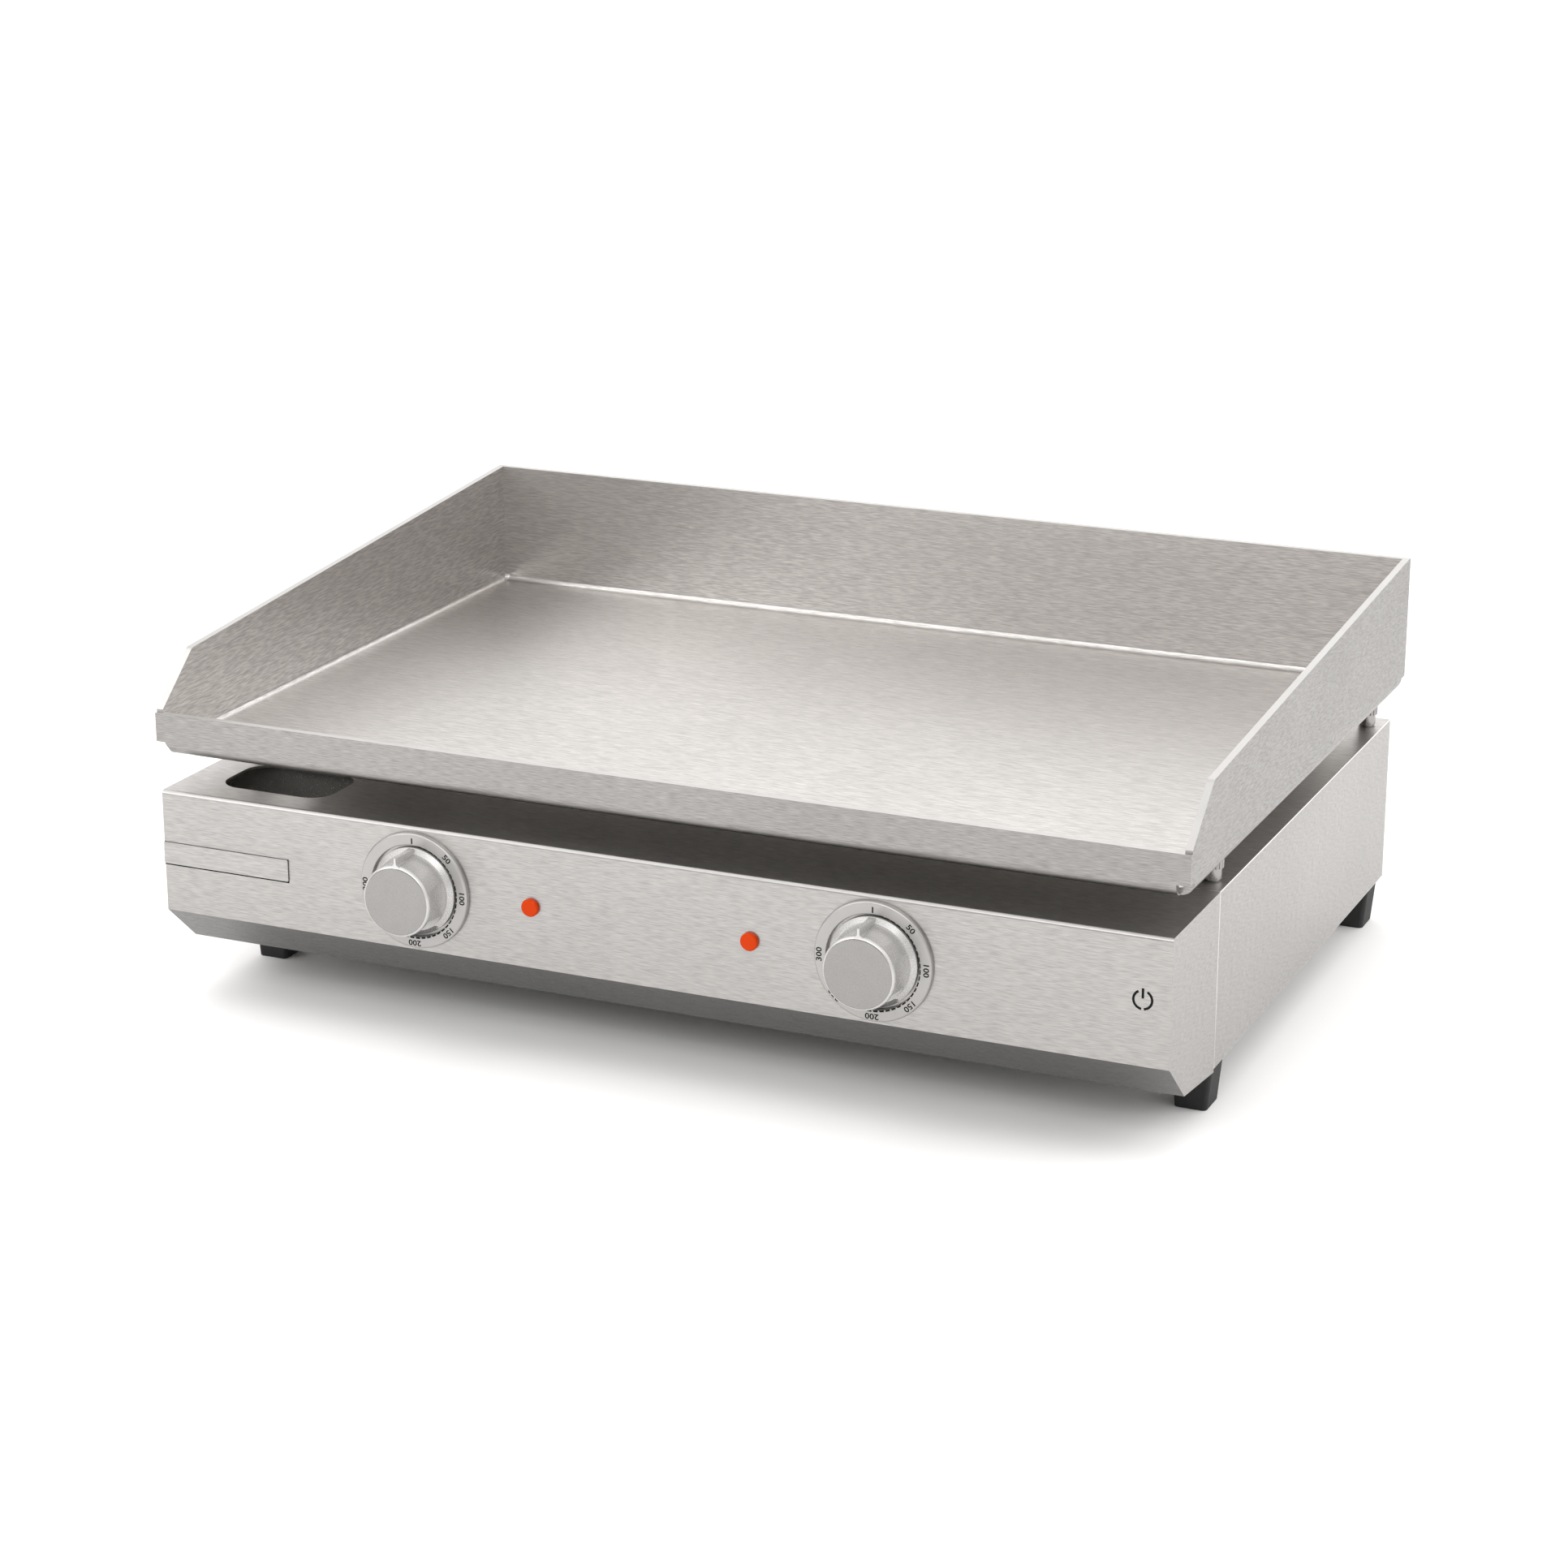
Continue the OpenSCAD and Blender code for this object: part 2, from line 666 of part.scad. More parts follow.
module terminal_bushings() color("white") at_bushings() difference() {
    union() {
        translate([0, 0, base_top - sheet - 8]) cylinder(r = 7.2, h = 8 + sheet);
        translate([0, 0, base_top]) cylinder(r = 8.5, h = 1.2);
    }
    translate([0, 0, base_top - 20]) cylinder(r = element_r + 0.3, h = 30);
}

module at_clamp_studs() {
    for (side = [-1, 1], sx = [-1, 1], y = clamp_ys)
        translate([side * zone_x + sx * leg_pitch, y, 0]) children();
}

module clamp_bars() color(satin) {
    for (side = [-1, 1], y = clamp_ys) difference() {
        box_between([side * zone_x - 94, y - 6, bar_z0], [side * zone_x + 94, y + 6, bar_z1]);
        for (sx = [-1, 1])
            translate([side * zone_x + sx * leg_pitch, y, bar_z0 - 1])
                cylinder(r = 2.2, h = clamp_t + 2);
    }
}

module clamp_studs() color("lightgrey") at_clamp_studs()
    translate([0, 0, shroud_z - clamp_nut_h - 0.8])
        cylinder(r = 2, h = pan_under - shroud_z + clamp_nut_h + 0.8);

module clamp_nuts() color("lightgrey") at_clamp_studs()
    translate([0, 0, shroud_z - clamp_nut_h]) hex_nut(4, clamp_nut_h, 2.05);

// Dished reflector under the elements
module element_shroud() color(satin) difference() {
    box_between([-shroud_x, shroud_y0, shroud_z], [shroud_x, shroud_y1, pan_under]);
    box_between([-shroud_x + shroud_t, shroud_y0 + shroud_t, shroud_z + shroud_t],
        [shroud_x - shroud_t, shroud_y1 - shroud_t, pan_under + 1]);
    at_clamp_studs() translate([0, 0, shroud_z - 1]) cylinder(r = 2.1, h = 3);
    at_bushings() translate([0, 0, shroud_z - 1]) cylinder(r = 5, h = 3);
    at_capillaries() translate([0, 0, shroud_z - 1]) cylinder(r = 2, h = 3);
}

module insulation_mat() color("wheat") difference() {
    mat_z1 = base_top - sheet;
    box_between([-250, -112, mat_z1 - mat_t], [250, 180, mat_z1]);
    at_bushings() translate([0, 0, mat_z1 - mat_t - 1]) cylinder(r = 8, h = mat_t + 2);
    at_capillaries() translate([0, 0, mat_z1 - mat_t - 1]) cylinder(r = 3, h = mat_t + 2);
}

// ---------- Electrical parts ----------

// Resettable limit control on a bracket that hangs from the base's top
module safety_cutout() color(black) {
    x = -40;
    y = -122;
    z = base_top - 2 * sheet - 30;
    box_between([x - 16, y - 6, z - 12], [x + 16, y + 6, z + 30]);
    translate([x, y + 6, z]) rotate([-90, 0, 0]) cylinder(r = 10, h = 9);
    for (tx = [-8, 8])
        box_between([x + tx - 3, y - 14, z - 0.4], [x + tx + 3, y - 6, z + 0.4]);
}

module terminal_block() color("ivory") {
    z = foot_h + cover_t + sheet;
    translate([gland_x, block_y, 0]) {
        difference() {
            box_between([-block_w / 2, -block_d / 2, z], [block_w / 2, block_d / 2, z + 20]);
            for (tx = [-20, 0, 20], ty = [-6, 6])
                translate([tx, ty, z + 8]) cylinder(r = 3, h = 20, $fn = 32);
        }
        box_between([-block_w / 2 - 4, -block_d / 2 - 2, foot_h + cover_t],
            [block_w / 2 + 4, block_d / 2 + 2, z]);
    }
}

// Inner leads: block to switch, switch to each dial control, and controls to elements.
// Each one leaves its terminal straight.
module wiring() color("firebrick") {
    lead = 12;
    block = [gland_x, block_y - block_d / 2, foot_h + 12];
    switch_top = [switch_x, switch_y + 4, switch_z + 30];
    right_in = [144, therm_back, dial_z - 4];
    right_out = [131, therm_back, dial_z - 5];
    left_in = [-131, therm_back, dial_z - 5];
    wire([block, block - [0, lead, 0], [230, 110, 46], [270, -60, 46], [270, -120, 56], switch_top], 1.8);
    wire([switch_top + [-8, 0, 0], [220, -110, 64], [170, -118, 78], right_in + [0, lead, 0], right_in], 1.5);
    wire([right_out, right_out + [0, lead, 0], [60, -112, 66], [-100, -112, 66],
        left_in + [0, lead, 0], left_in], 1.5);
    for (side = [-1, 1], i = [-1.5, 1.5]) {
        start = [side * dial_x + 5 * i, therm_back, dial_z + 1];
        pin = [side * zone_x + i * leg_pitch, leg_y0 - elbow_r, pin_end_z];
        wire([start, start + [0, lead, 0], [side * zone_x + i * 24, -128, dial_z - 8],
            pin - [0, 0, lead], pin], 1.2, ref = [1, 0, 0]);
    }
}

module at_switch() {
    translate([switch_x, switch_y, switch_z]) rotate([-switch_slope, 0, 0]) children();
}

// Snap-in switch body in the fascia's sloping underside; it is open below for the rocker
module switch_housing() color(black) at_switch() difference() {
    union() {
        translate([0, 0, -1.01]) cube([switch_l, switch_w, 2], center = true);
        translate([0, 0, 10]) cube([switch_l - 4.4, switch_w - 4.4, 22], center = true);
        for (x = [-8, 0, 8])
            translate([x, 0, 24]) cube([0.8, 5, 8], center = true);
    }
    translate([0, 0, 2]) cube([rocker_l - 0.8, rocker_w - 0.6 + 0.2, 12], center = true);
}

module rocker() color([0.25, 0.05, 0.04]) at_switch() translate([0, 0, 2]) rotate([0, rocker_tilt, 0])
    rotate([90, 0, 0]) linear_extrude(rocker_w - 1.4, center = true) difference() {
        circle(10.4);
        translate([-20, 2.2]) square([40, 40]);
        translate([0, -23.6]) circle(20);
    }

module cable_gland() color(black) translate([gland_x, y_rear, gland_z]) rotate([-90, 0, 0]) difference() {
    union() {
        cylinder(r = 13.8, h = gland_flange, $fn = 6);
        translate([0, 0, -sheet - gland_inside]) cylinder(r = gland_r - 0.1, h = sheet + gland_inside);
        rotate_extrude() polygon(concat([[0, 4], [12, 4], [12, 13]],
            arc([gland_reach - 15.6, gland_reach - 5], 5, 0, 90), [[0, gland_reach]]));
        for (a = [0:30:330]) rotate(a) translate([11.4, 0, 5.5]) cylinder(r = 1.2, h = 7.5, $fn = 24);
    }
    translate([0, 0, -20]) cylinder(r = gland_bore_r, h = 60);
}

module gland_locknut() color(black)
    translate([gland_x, y_rear - sheet, gland_z]) rotate([90, 0, 0]) hex_nut(13.8, 5, gland_r - 0.05);

module earth_stud() color("goldenrod") translate([250, 170, foot_h + cover_t]) {
    cylinder(r = 2, h = 16);
    translate([0, 0, sheet]) cylinder(r = 4.6, h = 3, $fn = 6);
    translate([0, 0, sheet + 4.2]) cylinder(r = 4.6, h = 3, $fn = 6);
}

// ---------- Feet and screws ----------

module foot(sx, y) color(black) translate([sx * foot_x, y, 0]) difference() {
    hull() {
        linear_extrude(0.5) rounded_rect(foot_low[0], foot_low[1], foot_round, $fn = 32);
        translate([0, 0, foot_h - 0.5]) linear_extrude(0.5)
            rounded_rect(foot_high[0], foot_high[1], foot_round, $fn = 32);
    }
    translate([0, 0, -1]) cylinder(r = 5, h = foot_h - 5);
    translate([0, 0, -1]) cylinder(r = 2.2, h = foot_h + 2);
}

module foot_screws() color("lightgrey") at_feet() {
    translate([0, 0, foot_h - 9]) cylinder(r = 4.2, h = 3);
    translate([0, 0, foot_h - 6.1]) cylinder(r = 2.1, h = 16);
}

module cover_screws() color("lightgrey") at_cover_screws() {
    translate([0, 0, foot_h - 1.6]) cylinder(r = 3, h = 1.6);
    translate([0, 0, foot_h - 0.1]) cylinder(r = 1.5, h = 7);
}

griddle_pan();
front_fascia();
rear_housing();
joint_frame();
bottom_cover();
badge_plate();
dial_ring(-1);  // dial_ring_left
dial_ring(1);  // dial_ring_right
knob(-1);  // knob_left
knob(1);  // knob_right
thermostat(-1);  // thermostat_left
thermostat(1);  // thermostat_right
thermostat_shaft(-1);  // thermostat_shaft_left
thermostat_shaft(1);  // thermostat_shaft_right
thermostat_screws();
sensor(-1);  // sensor_left
sensor(1);  // sensor_right
lamp_lens(-1);  // lamp_lens_left
lamp_lens(1);  // lamp_lens_right
lamp_holder(-1);  // lamp_holder_left
lamp_holder(1);  // lamp_holder_right
drip_tray();
tray_front();
tray_guide();
post(-1, post_ys[0]);  // post_front_left
post(1, post_ys[0]);  // post_front_right
post(-1, post_ys[1]);  // post_rear_left
post(1, post_ys[1]);  // post_rear_right
post_collars();
post_studs();
post_nuts();
heating_element(-1);  // heating_element_left
heating_element(1);  // heating_element_right
clamp_bars();
clamp_studs();
clamp_nuts();
element_shroud();
terminal_bushings();
insulation_mat();
safety_cutout();
terminal_block();
wiring();
switch_housing();
rocker();
cable_gland();
gland_locknut();
earth_stud();
foot(-1, foot_ys[0]);  // foot_front_left
foot(1, foot_ys[0]);  // foot_front_right
foot(-1, foot_ys[1]);  // foot_rear_left
foot(1, foot_ys[1]);  // foot_rear_right
foot_screws();
cover_screws();
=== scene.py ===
"""Looks of a two-zone electric griddle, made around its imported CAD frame.

Everything is in metres in the CAD's own frame: +Z up, the dials face -Y, z = 0 is the table.
"""

import json
import math

import bmesh
import bpy
from mathutils import Matrix, Vector

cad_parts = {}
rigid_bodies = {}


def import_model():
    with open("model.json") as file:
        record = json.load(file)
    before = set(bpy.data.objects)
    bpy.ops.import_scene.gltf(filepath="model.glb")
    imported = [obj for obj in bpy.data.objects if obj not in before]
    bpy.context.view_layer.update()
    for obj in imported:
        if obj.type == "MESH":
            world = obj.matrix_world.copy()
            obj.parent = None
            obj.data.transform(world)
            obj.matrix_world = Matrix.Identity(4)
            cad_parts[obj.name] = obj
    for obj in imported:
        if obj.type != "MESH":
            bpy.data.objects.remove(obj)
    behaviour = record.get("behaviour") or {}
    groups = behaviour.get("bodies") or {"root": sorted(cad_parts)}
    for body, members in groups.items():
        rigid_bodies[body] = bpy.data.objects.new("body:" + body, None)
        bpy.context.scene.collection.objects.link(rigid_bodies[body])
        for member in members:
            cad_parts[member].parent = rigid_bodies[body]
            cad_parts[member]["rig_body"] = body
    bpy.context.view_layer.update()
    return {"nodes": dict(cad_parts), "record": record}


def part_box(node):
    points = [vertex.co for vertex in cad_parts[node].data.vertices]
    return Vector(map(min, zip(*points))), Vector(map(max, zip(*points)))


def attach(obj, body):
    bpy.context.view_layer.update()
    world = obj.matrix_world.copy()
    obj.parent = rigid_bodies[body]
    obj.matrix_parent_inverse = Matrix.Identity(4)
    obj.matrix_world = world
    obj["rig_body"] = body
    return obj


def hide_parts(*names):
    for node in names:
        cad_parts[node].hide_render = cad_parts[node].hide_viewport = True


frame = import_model()
NODES = frame["nodes"]
MM = 0.001
SIDES = ("left", "right")

# Camera: direction from the target, distance and focal length
CAMERA_AZIMUTH = 23.89
CAMERA_ELEVATION = 17.89
CAMERA_DISTANCE = 2.0453
CAMERA_LENS = 84.3
CAMERA_SENSOR = 36
CAMERA_REACH = 200
CAMERA_TARGET = Vector((0.03459, -0.09396, 0.14146))

# Grain: how many streaks to a metre, along the brushing and across it, on most faces and on sideways ones
GRAIN_ALONG = 130
GRAIN_ACROSS = 2400
SIDE_ALONG = 120
SIDE_ACROSS = 1300

# A face counts as sideways when its normal's X part is more than this
SIDEWAYS = 0.7
# Coarse streaks are this many times longer and wider than the fine ones
COARSE_SHRINK = 3.5
FINE_SHARE = 0.93
# Slow change of tone and roughness over a sheet
CLOUD_SCALE = 9.0
CLOUD_DEPTH = 0.02
# How far the streaks move the roughness up and down, and how deep the fine texture is
STREAK_ROUGHNESS = 0.05
PLAIN_ROUGHNESS = 0.04
BUMP_DEPTH = 0.0002

# Studio surround: how bright it is towards each of three directions, and dark the opposite way
SURROUND = (
    ((0, 1, 0), 1.40),
    ((1, 0, 0), 0.60),
    ((0, 0, 1), 1.05),
)


# ---------- Shader helpers ----------


class Tree:
    """A material's node tree, with a short call for each kind of node used here."""

    def __init__(self, name):
        self.material = bpy.data.materials.new(name)
        self.material.use_nodes = True
        self.nodes = self.material.node_tree.nodes
        self.links = self.material.node_tree.links
        self.shader = self.nodes["Principled BSDF"]
        self.place = self.nodes.new("ShaderNodeTexCoord")

    def put(self, value, socket):
        """Sets a socket to a number or colour, or links another node's output to it."""
        if isinstance(value, bpy.types.NodeSocket):
            self.links.new(value, socket)
        else:
            socket.default_value = value

    def base(self, colour=None, **values):
        """Sets the main shader's own sockets, named in lower case with underscores."""
        if colour is not None:
            self.put((*colour, 1) if isinstance(colour, tuple) else colour, self.shader.inputs["Base Color"])
        for key, value in values.items():
            self.put(value, self.shader.inputs[key.replace("_", " ").title().replace("Ior", "IOR")])
        return self

    def math(self, kind, a, b=0.0):
        node = self.nodes.new("ShaderNodeMath")
        node.operation = kind
        self.put(a, node.inputs[0])
        self.put(b, node.inputs[1])
        return node.outputs[0]

    def stretched(self, scale, source=None):
        """Object coordinates multiplied by a scale along each axis."""
        node = self.nodes.new("ShaderNodeMapping")
        node.inputs["Scale"].default_value = scale
        self.links.new(source or self.place.outputs["Object"], node.inputs["Vector"])
        return node.outputs["Vector"]

    def noise(self, vector, scale=1.0, detail=3.0, rough=0.55):
        node = self.nodes.new("ShaderNodeTexNoise")
        node.inputs["Scale"].default_value = scale
        node.inputs["Detail"].default_value = detail
        node.inputs["Roughness"].default_value = rough
        self.links.new(vector, node.inputs["Vector"])
        return node.outputs["Fac"]

    def span(self, value, low, high, from_low=0.3, from_high=0.7):
        """Maps a value from one range to another, held at its ends."""
        node = self.nodes.new("ShaderNodeMapRange")
        self.put(value, node.inputs["Value"])
        node.inputs["From Min"].default_value = from_low
        node.inputs["From Max"].default_value = from_high
        node.inputs["To Min"].default_value = low
        node.inputs["To Max"].default_value = high
        return node.outputs["Result"]

    def blend(self, factor, first, second, kind="RGBA"):
        """Mixes two colours or two vectors."""
        node = self.nodes.new("ShaderNodeMix")
        node.data_type = kind
        inputs = [s for s in node.inputs if s.enabled and s.type == kind]
        self.put(factor, node.inputs[0])
        for socket, value in zip(inputs[-2:], (first, second)):
            self.put((*value, 1) if isinstance(value, tuple) else value, socket)
        return [s for s in node.outputs if s.enabled][0]

    def bump(self, height, strength):
        node = self.nodes.new("ShaderNodeBump")
        node.inputs["Strength"].default_value = strength
        node.inputs["Distance"].default_value = BUMP_DEPTH
        self.links.new(height, node.inputs["Height"])
        self.links.new(node.outputs["Normal"], self.shader.inputs["Normal"])


def brushed(name, colour, rough=0.34, contrast=0.3, relief=0.10, side=1.0):
    """Brushed stainless steel: fine grain along X, and grain along Y on faces that look sideways.

    The side factor makes the grain on those faces shorter and finer.
    """
    tree = Tree(name)
    normal = tree.nodes.new("ShaderNodeSeparateXYZ")
    tree.links.new(tree.place.outputs["Normal"], normal.inputs[0])
    sideways = tree.math("GREATER_THAN", tree.math("ABSOLUTE", normal.outputs["X"]), SIDEWAYS)

    def grain(shrink, detail):
        lengthways = tree.stretched((GRAIN_ALONG / shrink, GRAIN_ACROSS / shrink, GRAIN_ACROSS / shrink))
        crossways = tree.stretched([side * rate / shrink for rate in (SIDE_ACROSS, SIDE_ALONG, SIDE_ACROSS)])
        return tree.noise(tree.blend(sideways, lengthways, crossways, "VECTOR"), detail=detail)

    fine = grain(1.0, 1.5)
    coarse = grain(COARSE_SHRINK, 2.0)
    streaks = tree.math("ADD", tree.math("MULTIPLY", fine, FINE_SHARE),
                        tree.math("MULTIPLY", coarse, 1 - FINE_SHARE))
    cloud = tree.noise(tree.place.outputs["Object"], scale=CLOUD_SCALE, detail=3.0)
    tone = tree.math("ADD", tree.span(streaks, 1 - contrast, 1 + contrast, 0.35, 0.65),
                     tree.span(cloud, -CLOUD_DEPTH, CLOUD_DEPTH))
    shade = tree.nodes.new("ShaderNodeVectorMath")
    shade.operation = "SCALE"
    shade.inputs[0].default_value = colour
    tree.links.new(tone, shade.inputs["Scale"])
    tree.base(shade.outputs[0], metallic=1.0)
    streaked = tree.span(streaks, rough + STREAK_ROUGHNESS, rough - STREAK_ROUGHNESS)
    clouded = tree.span(cloud, CLOUD_DEPTH, -CLOUD_DEPTH)
    tree.base(roughness=tree.math("ADD", streaked, clouded))
    tree.bump(streaks, relief)
    return tree.material


def plain(name, colour, rough, metallic=0.0, grain=900, contrast=0.05, relief=0.05, **more):
    """A moulded, cast or turned surface with an even fine texture."""
    tree = Tree(name)
    fine = tree.noise(tree.place.outputs["Object"], scale=grain, detail=3.0)
    broad = tree.noise(tree.place.outputs["Object"], scale=grain / 25, detail=2.0)
    dark = tuple(c * (1 - contrast) for c in colour)
    light = tuple(min(1.0, c * (1 + contrast)) for c in colour)
    tree.base(tree.blend(tree.span(broad, 0.0, 1.0), dark, light), metallic=metallic, **more)
    tree.base(roughness=tree.span(fine, rough - PLAIN_ROUGHNESS, rough + PLAIN_ROUGHNESS))
    tree.bump(fine, relief)
    return tree.material


def make_materials():
    """One material for each slot in the record, and more for the print and for lit and shaded copies: painted
    highlights on edges and rims, painted shade or light on other sides and undersides.
    """
    return {
        "brushed_steel_pan": brushed("pan_steel", (0.525, 0.506, 0.490), 0.33, 0.2),
        # Painted shade: the pan's outer sides in a darker copy of its steel
        "pan_outside_painted_shade": brushed("pan_outside_painted_shade", (0.290, 0.280, 0.272), 0.34, 0.17, side=1.7),
        "brushed_steel_base": brushed("base_steel", (0.48, 0.465, 0.452), 0.38, 0.16),
        # Painted shade: the base's outer sides in a darker copy of its steel
        "base_outside_painted_shade": brushed("base_outside_painted_shade", (0.385, 0.373, 0.363), 0.34, 0.13, side=1.7),
        # Painted highlights: lighter copies for rounded edges and outer bends, brightest on the housing's
        # long seams
        "pan_edge_painted_highlight": plain("pan_edge_painted_highlight", (0.50, 0.49, 0.48), 0.34, 1.0, 1200, 0.03, 0.02),
        "base_edge_painted_highlight": plain("base_edge_painted_highlight", (0.40, 0.39, 0.38), 0.34, 1.0, 1200, 0.03, 0.02),
        "housing_edge_painted_highlight": plain("housing_edge_painted_highlight", (0.80, 0.79, 0.78), 0.34, 1.0, 1200, 0.03, 0.02),
        # Painted shade: the base's down-facing faces, the front chamfer among them, in a very dark copy of
        # its steel
        "base_underside_painted_shade": brushed("base_underside_painted_shade", (0.135, 0.13, 0.125), 0.26, 0.12),
        "satin_steel": brushed("cover_steel", (0.40, 0.39, 0.38), 0.36, 0.12),
        "tray_steel": plain("tray_steel", (0.62, 0.60, 0.57), 0.24, 0.8, 900, 0.05, 0.03),
        "knob_metal": plain("knob_metal", (0.285, 0.278, 0.272), 0.28, 1.0, 2500, 0.02, 0.03),
        # Copies of the knob's metal: sides painted lighter, rim with a painted highlight, underside in
        # painted shade
        "knob_side_painted_light": plain("knob_side_painted_light", (0.50, 0.49, 0.48), 0.28, 0.35, 2500, 0.02, 0.02),
        "knob_rim_painted_highlight": plain("knob_rim_painted_highlight", (0.56, 0.55, 0.54), 0.30, 0.4, 2500, 0.02, 0.02),
        "knob_underside_painted_shade": plain("knob_underside_painted_shade", (0.16, 0.155, 0.15), 0.28, 0.5, 2500, 0.02, 0.02),
        "ring_metal": plain("ring_metal", (0.38, 0.37, 0.36), 0.32, 0.6, 2500, 0.02, 0.02),
        # Painted light: the pan's underside in a much lighter copy of its steel
        "pan_underside_painted_light": brushed("pan_underside_painted_light", (0.85, 0.83, 0.81), 0.40, 0.1),
        "zinc_steel": plain("zinc_plated", (0.62, 0.62, 0.60), 0.38, 1.0, 1500, 0.06),
        "post_steel": plain("turned_steel", (0.34, 0.33, 0.32), 0.28, 1.0, 1500, 0.05),
        "copper": plain("dull_copper", (0.70, 0.40, 0.26), 0.42, 1.0, 700, 0.15),
        "earth_brass": plain("brass", (0.76, 0.57, 0.24), 0.32, 1.0, 900, 0.08),
        "element_sheath": plain("element_sheath", (0.09, 0.085, 0.08), 0.55, 0.6, 600, 0.25, 0.15),
        "lamp_orange": plain("lamp_lens", (0.50, 0.036, 0.0), 0.12, 0.0, 300, 0.08, 0.01,
                             specular_ior_level=0.1),
        "black_plastic": plain("black_plastic", (0.018, 0.018, 0.018), 0.5, 0.0, 1600, 0.2, 0.12),
        "rocker_plastic": plain("rocker_plastic", (0.022, 0.022, 0.022), 0.28, 0.0, 900, 0.1, 0.03),
        "terminal_plastic": plain("terminal_plastic", (0.76, 0.74, 0.66), 0.5, 0.0, 900, 0.05),
        "white_ceramic": plain("ceramic", (0.86, 0.85, 0.82), 0.2, 0.0, 500, 0.04, 0.02),
        "insulation": plain("mineral_mat", (0.62, 0.58, 0.48), 0.95, 0.0, 700, 0.3, 0.9),
        "wire_sleeve": plain("wire_sleeve", (0.42, 0.06, 0.03), 0.75, 0.0, 1800, 0.3, 0.5),
        "foot_rubber": plain("foot_rubber", (0.016, 0.016, 0.016), 0.72, 0.0, 1300, 0.35, 0.6),
        "print": plain("black_print", (0.006, 0.006, 0.006), 0.5, 0.0, 2500, 0.2, 0.05,
                       specular_ior_level=0.12),
    }


# ---------- Pieces ----------

# Parts of a face's normal: how far up it must point to be a top, and the range of an outer bend
LOOKS_UP = 0.5
BEND_LOW = 0.2
BEND_HIGH = 0.98
# A knob's flat front and its rim end this far behind its front, and the rim slopes forward by this much
KNOB_FRONT_DEPTH = 0.2 * MM
KNOB_RIM_DEPTH = 2 * MM
KNOB_RIM_SLOPE = 0.2
# Edges sharper than these angles are rounded, in degrees, and seams only when they are long enough
EDGE_ANGLE = 34
KNOB_EDGE_ANGLE = 18
SEAM_LENGTH = 40 * MM
EDGE_SEGMENTS = 2
# Vertices closer than this are one, and faces that meet flatter than this angle are one
WELD_DISTANCE = 2e-6
FLAT_ANGLE = 0.2


def link(name, mesh, material):
    piece = bpy.data.objects.new(name, mesh)
    bpy.context.scene.collection.objects.link(piece)
    mesh.materials.clear()
    mesh.materials.append(material)
    return piece


def sheet_finish(face, middle, cut_level, down_level):
    """Picks a sheet-metal face's finish by where it looks: lit and shaded copies of one steel.

    It is 0 inside and on top, 1 on cut edges and outer bends with a painted highlight, 2 outside in painted
    shade, and 3 underneath in painted shade on the base and painted light on the pan.
    """
    centre = face.calc_center_median()
    up = face.normal.z
    turned_out = face.normal.dot(centre - middle) > 0
    cut_edge = up > LOOKS_UP and centre.z > cut_level
    outer_bend = turned_out and BEND_LOW < up < BEND_HIGH
    if cut_edge or outer_bend:
        return 1
    if not turned_out or up > LOOKS_UP:
        return 0
    return 3 if up < down_level else 2


def knob_finish(face, front):
    """Picks a knob face's finish: 0 on its flat front, 1 on its rim with a painted highlight, 2 on its sides
    painted lighter, 3 underneath in painted shade.
    """
    depth = face.calc_center_median().y - front
    if depth < KNOB_FRONT_DEPTH:
        return 0
    if depth < KNOB_RIM_DEPTH and face.normal.y < -KNOB_RIM_SLOPE:
        return 1
    return 3 if face.normal.z < -LOOKS_UP else 2


def finished_copy(node, width, levels=None):
    """A welded copy of a CAD node with small rounded edges, which stands for the node.

    Sheet metal has two levels: faces that look up above the first are cut edges, and faces whose normal
    points further down than the second are underneath.
    """
    source = NODES[node]
    bm = bmesh.new()
    bm.from_mesh(source.data)
    bmesh.ops.remove_doubles(bm, verts=bm.verts, dist=WELD_DISTANCE)
    bmesh.ops.dissolve_limit(bm, angle_limit=math.radians(FLAT_ANGLE), verts=bm.verts, edges=bm.edges)
    low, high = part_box(node)
    for face in bm.faces:
        face.smooth = True
        if levels:
            face.material_index = sheet_finish(face, (low + high) / 2, *levels)
        elif node.startswith("knob"):
            face.material_index = knob_finish(face, low.y)
    if node in PAINTED_HIGHLIGHT_SEAMS:
        weight = bm.edges.layers.float.new("bevel_weight_edge")
        for edge in bm.edges:
            sharp = edge.calc_face_angle(0) > math.radians(EDGE_ANGLE)
            edge[weight] = 1.0 if sharp and edge.calc_length() > SEAM_LENGTH else 0.0
    slot = SLOTS[node]
    mesh = bpy.data.meshes.new(node + "_finished")
    piece = link(node + "_finished", mesh, MATERIALS["ring_metal" if node.startswith("dial_ring") else slot])
    for name in EXTRA_FINISHES.get(node, ()):
        mesh.materials.append(MATERIALS[name])
    bm.to_mesh(mesh)
    bm.free()
    bevel = piece.modifiers.new("rounded_edges", "BEVEL")
    bevel.width = width * MM
    bevel.segments = EDGE_SEGMENTS
    bevel.limit_method = "ANGLE"
    bevel.angle_limit = math.radians(KNOB_EDGE_ANGLE if node.startswith("knob") else EDGE_ANGLE)
    bevel.use_clamp_overlap = True
    if node in PAINTED_HIGHLIGHT_SEAMS:
        bevel.limit_method = "WEIGHT"
    if node in PAINTED_HIGHLIGHT_SEAMS + PAINTED_HIGHLIGHT_RIMS:
        bevel.material = 1
    shading = piece.modifiers.new("even_shading", "WEIGHTED_NORMAL")
    shading.keep_sharp = False
    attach(piece, source["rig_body"])
    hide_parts(node)


